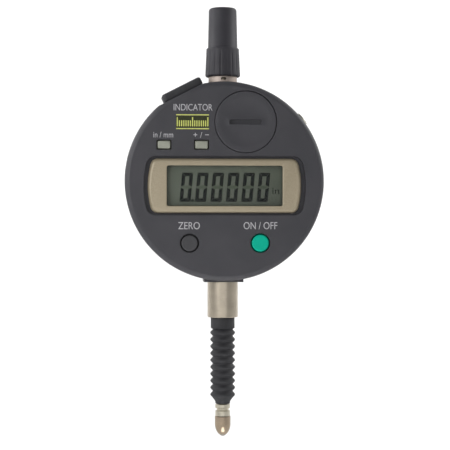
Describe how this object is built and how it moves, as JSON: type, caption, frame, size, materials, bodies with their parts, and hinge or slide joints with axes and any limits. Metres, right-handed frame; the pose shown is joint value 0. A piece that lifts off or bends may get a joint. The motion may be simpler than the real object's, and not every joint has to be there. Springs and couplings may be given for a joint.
{
  "type": "digital dial indicator",
  "caption": "Round digital dial indicator on a plain clamping stem, with a sprung spindle, bellows boot, contact point, display, push buttons, battery cover and top cap.",
  "frame": {"origin": "on the spindle axis, halfway along the bare stem, where a holder clamps it", "axes": "+Z along the spindle axis from the contact point towards the cap; -Y is the way the display faces; +X is to the right of someone reading the display"},
  "size_m": [0.061, 0.0191, 0.1335],
  "materials": {
    "case_black": "fine moulded texture, satin dark grey",
    "cap_black": "moulded, satin",
    "key_black": "moulded, satin",
    "key_grey": "moulded, satin light grey",
    "key_green": "moulded, semi-gloss green",
    "bezel_gold": "satin champagne",
    "clear_window": "polished clear acrylic",
    "lcd_glass": "grey-green liquid crystal glass",
    "white_plastic": "moulded",
    "rubber_black": "matt",
    "rubber_grey": "matt silicone",
    "rubber_boot": "matt nitrile",
    "cover_rubber": "matt",
    "stem_steel": "fine turned, nickel tone",
    "contact_steel": "polished, turned",
    "plated_steel": "nickel plated",
    "cell_steel": "bright rolled",
    "carbide": "lapped",
    "brass": "machined",
    "board_green": "solder resist on glass fibre",
    "chip_black": "moulded epoxy",
    "scale_glass": "etched scale"
  },
  "bodies": {
    "case": {"front_case": "case_black", "rear_cover": "case_black", "case_seal": "rubber_black", "rear_cover_screw_1": "plated_steel", "rear_cover_screw_2": "plated_steel", "rear_cover_screw_3": "plated_steel", "rear_cover_screw_4": "plated_steel", "side_plug": "plated_steel", "stem": "stem_steel", "lower_bush": "brass", "neck": "stem_steel", "upper_bush": "brass", "display_bezel": "bezel_gold", "display_window": "clear_window", "lcd_panel": "lcd_glass", "lcd_frame": "white_plastic", "elastomer_upper": "rubber_black", "elastomer_lower": "rubber_black", "key_mat_upper": "rubber_grey", "key_mat_lower": "rubber_grey", "battery_cell": "cell_steel", "battery_contact": "brass", "main_board": "board_green", "board_screw_1": "plated_steel", "board_screw_2": "plated_steel", "board_screw_3": "plated_steel", "processor_chip": "chip_black", "crystal": "cell_steel", "output_socket": "cap_black", "socket_contacts": "brass", "guide_rod": "stem_steel", "detector_board": "board_green", "spring_post": "stem_steel", "rubber_boot": "rubber_boot", "measuring_spring": "cell_steel"},
    "spindle": {"spindle": "stem_steel", "contact_point": "contact_steel", "contact_ball": "carbide", "scale_carrier": "white_plastic", "scale_strip": "scale_glass"},
    "button_in_mm": {"button_in_mm": "key_grey"},
    "button_plus_minus": {"button_plus_minus": "key_grey"},
    "button_origin": {"button_origin": "key_black"},
    "button_on_off": {"button_on_off": "key_green"},
    "battery_cover_seal": {"battery_cover_seal": "rubber_black"},
    "battery_cover": {"battery_cover": "cap_black"},
    "connector_cover": {"connector_cover": "cover_rubber"},
    "top_cap": {"top_cap": "cap_black"}
  },
  "joints": [
    {"name": "spindle_travel", "type": "slide", "parent": "case", "child": "spindle", "axis": [0, 0, 1], "range_m": [0, 0.0127], "stiffness_N_per_m": 45, "springref_m": -0.022, "deforming": ["rubber_boot", "measuring_spring"]},
    {"name": "button_in_mm_press", "type": "slide", "parent": "case", "child": "button_in_mm", "axis": [0, 1, 0], "range_m": [0, 0.0005], "stiffness_N_per_m": 400, "springref_m": -0.0005},
    {"name": "button_plus_minus_press", "type": "slide", "parent": "case", "child": "button_plus_minus", "axis": [0, 1, 0], "range_m": [0, 0.0005], "stiffness_N_per_m": 400, "springref_m": -0.0005},
    {"name": "button_origin_press", "type": "slide", "parent": "case", "child": "button_origin", "axis": [0, 1, 0], "range_m": [0, 0.0005], "stiffness_N_per_m": 400, "springref_m": -0.0005},
    {"name": "button_on_off_press", "type": "slide", "parent": "case", "child": "button_on_off", "axis": [0, 1, 0], "range_m": [0, 0.0005], "stiffness_N_per_m": 400, "springref_m": -0.0005},
    {"name": "battery_cover_turn", "type": "hinge", "parent": "battery_cover_seal", "child": "battery_cover", "pos_m": [0.00637, -0.0108, 0.0546], "axis": [0, -1, 0], "range_deg": [0, 45]},
    {"name": "battery_cover_lift", "type": "slide", "parent": "case", "child": "battery_cover_seal", "axis": [0, -1, 0], "range_m": [0, 0.009]},
    {"name": "connector_cover_pull", "type": "slide", "parent": "case", "child": "connector_cover", "axis": [-0.454, 0, 0.891], "range_m": [0, 0.012]},
    {"name": "top_cap_lift", "type": "slide", "parent": "case", "child": "top_cap", "axis": [0, 0, 1], "range_m": [0, 0.024]}
  ]
}
